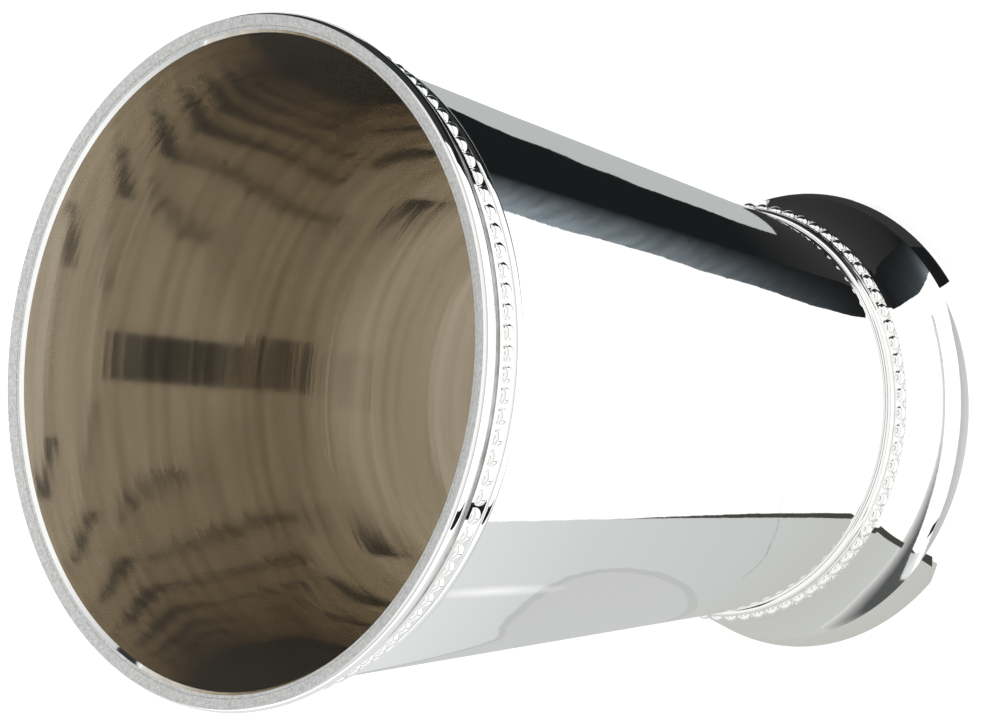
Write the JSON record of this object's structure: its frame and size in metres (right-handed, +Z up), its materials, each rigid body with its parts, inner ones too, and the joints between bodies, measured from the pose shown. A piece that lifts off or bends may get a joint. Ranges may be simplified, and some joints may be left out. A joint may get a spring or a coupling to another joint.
{
  "type": "julep cup",
  "caption": "Tapered metal julep cup with a flat lip, beaded mouldings at the rim and above a hollow flared foot; stands upright and holds an iced drink.",
  "frame": {"origin": "centre of the foot's ring on the table plane", "axes": "+Z up along the cup's axis, from the foot to the mouth; +X and +Y are any two directions across it, as the cup is round"},
  "size_m": [0.082, 0.082, 0.1122],
  "materials": {
    "polished_silver": "mirror polished silver plate",
    "lip_silver": "silver plate, polished with a fine matte flat on top of the lip",
    "satin_silver": "satin spun silver plate, slightly warm with tarnish"
  },
  "bodies": {
    "root": {"cup_wall": "polished_silver", "cup_floor": "satin_silver", "rim_band": "lip_silver", "rim_beading": "polished_silver", "rim_wire": "polished_silver", "foot_wire": "polished_silver", "foot_beading": "polished_silver", "foot_shell": "polished_silver"}
  },
  "joints": []
}
